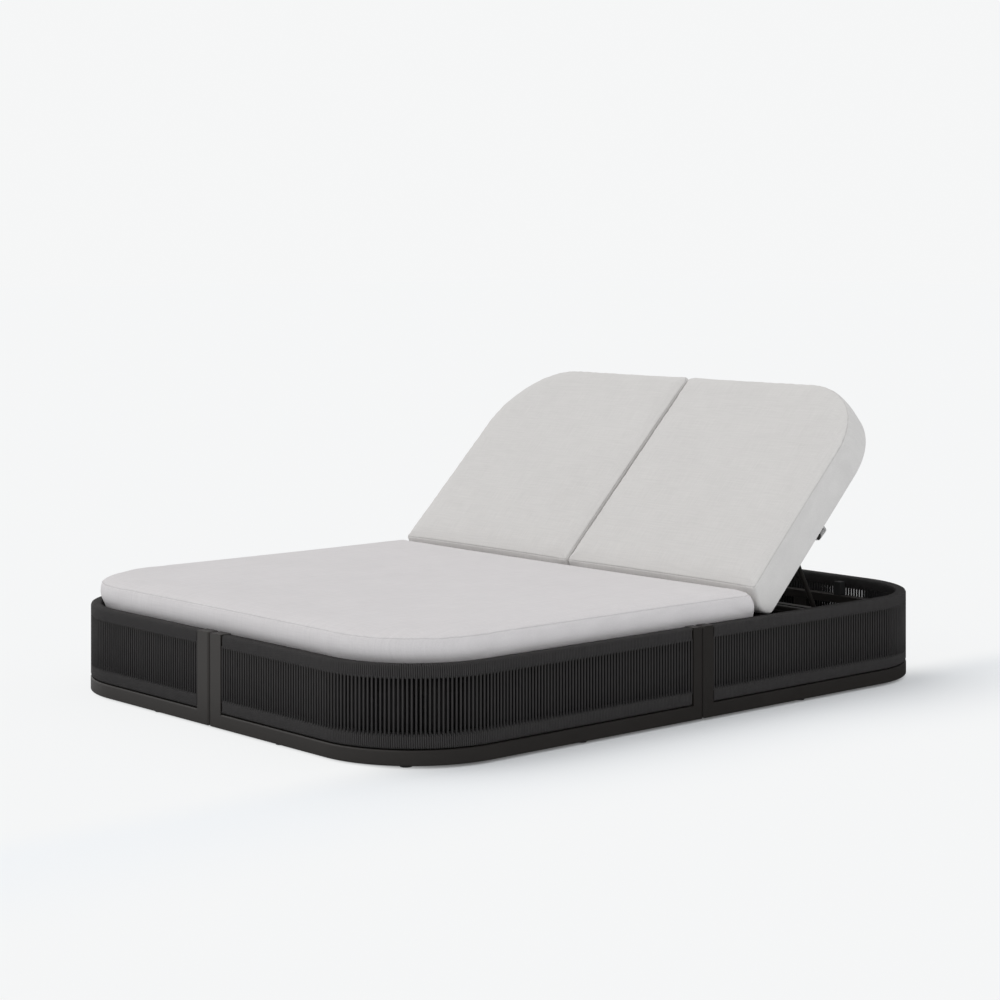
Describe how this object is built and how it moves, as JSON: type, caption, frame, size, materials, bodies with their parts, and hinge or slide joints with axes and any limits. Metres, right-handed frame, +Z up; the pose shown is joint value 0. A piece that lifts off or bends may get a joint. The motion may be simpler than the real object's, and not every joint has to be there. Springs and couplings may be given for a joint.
{
  "type": "double chaise lounger",
  "caption": "Wide outdoor lounger on a rounded cord-wound base, with one seat cushion and two backs that recline separately on props.",
  "frame": {"origin": "on the floor, at the middle of the base", "axes": "+Z up, +Y towards the head end, +X to the right of someone who looks from the foot to the head"},
  "size_m": [1.6, 2.1, 0.8616],
  "materials": {
    "frame_coat": "powder coat, dark bronze, satin",
    "cord": "charcoal woven cord",
    "cushion_cloth": "light warm grey outdoor cloth, fine weave",
    "strap_cloth": "light grey webbing",
    "rubber": "matt black rubber",
    "glide_plastic": "matt black plastic",
    "steel": "stainless, brushed"
  },
  "bodies": {
    "base": {"base_rail_head_right": "frame_coat", "seam_posts_head_right": "frame_coat", "cord_rail_head_right": "frame_coat", "top_rail_head_right": "frame_coat", "cord_panel_head_right": "cord", "ledger_head_right": "frame_coat", "uprights_head_right": "frame_coat", "base_rail_head_left": "frame_coat", "seam_posts_head_left": "frame_coat", "cord_rail_head_left": "frame_coat", "top_rail_head_left": "frame_coat", "cord_panel_head_left": "cord", "ledger_head_left": "frame_coat", "uprights_head_left": "frame_coat", "base_rail_foot_right": "frame_coat", "seam_posts_foot_right": "frame_coat", "cord_rail_foot_right": "frame_coat", "top_rail_foot_right": "frame_coat", "cord_panel_foot_right": "cord", "ledger_foot_right": "frame_coat", "uprights_foot_right": "frame_coat", "base_rail_foot_left": "frame_coat", "seam_posts_foot_left": "frame_coat", "cord_rail_foot_left": "frame_coat", "top_rail_foot_left": "frame_coat", "cord_panel_foot_left": "cord", "ledger_foot_left": "frame_coat", "uprights_foot_left": "frame_coat", "centre_beam": "frame_coat", "centre_legs": "frame_coat", "well_beams": "frame_coat", "glides": "glide_plastic", "seam_plates": "frame_coat", "seam_screws": "steel", "deck_foot_right": "frame_coat", "deck_head_right": "frame_coat", "hinge_rod_right": "steel", "deck_foot_left": "frame_coat", "deck_head_left": "frame_coat", "hinge_rod_left": "steel", "hinge_brackets": "frame_coat", "prop_racks": "frame_coat", "rest_buffers": "rubber", "seat_cushion": "cushion_cloth"},
    "back_right": {"back_frame_right": "frame_coat", "crossbar_right": "frame_coat", "prop_pins_right": "steel", "cushion_strap_right": "strap_cloth"},
    "back_cushion_body_right": {"back_cushion_right": "cushion_cloth"},
    "prop_right": {"prop_arms_right": "frame_coat", "prop_foot_right": "frame_coat"},
    "back_left": {"back_frame_left": "frame_coat", "crossbar_left": "frame_coat", "prop_pins_left": "steel", "cushion_strap_left": "strap_cloth"},
    "back_cushion_body_left": {"back_cushion_left": "cushion_cloth"},
    "prop_left": {"prop_arms_left": "frame_coat", "prop_foot_left": "frame_coat"}
  },
  "joints": [
    {"name": "recline_right", "type": "hinge", "parent": "base", "child": "back_right", "pos_m": [0.38, 0.2978, 0.2], "axis": [1, 0, 0], "range_deg": [-42, 4]},
    {"name": "cushion_slide_right", "type": "slide", "parent": "back_right", "child": "back_cushion_body_right", "axis": [0, 0.7071, 0.7071], "range_m": [-0.06, 0.01]},
    {"name": "prop_swing_right", "type": "hinge", "parent": "back_right", "child": "prop_right", "pos_m": [0.38, 0.52973, 0.41496], "axis": [1, 0, 0], "range_deg": [-12, 106]},
    {"name": "recline_left", "type": "hinge", "parent": "base", "child": "back_left", "pos_m": [-0.38, 0.2978, 0.2], "axis": [1, 0, 0], "range_deg": [-42, 4]},
    {"name": "cushion_slide_left", "type": "slide", "parent": "back_left", "child": "back_cushion_body_left", "axis": [0, 0.7071, 0.7071], "range_m": [-0.06, 0.01]},
    {"name": "prop_swing_left", "type": "hinge", "parent": "back_left", "child": "prop_left", "pos_m": [-0.38, 0.52973, 0.41496], "axis": [1, 0, 0], "range_deg": [-12, 106]}
  ],
  "couplings": [
    {"joint": "cushion_slide_right", "follows": "recline_right", "m_per_rad": 0.08},
    {"joint": "prop_swing_right", "follows": "recline_right", "ratio": -2.467},
    {"joint": "cushion_slide_left", "follows": "recline_left", "m_per_rad": 0.08},
    {"joint": "prop_swing_left", "follows": "recline_left", "ratio": -2.467}
  ]
}
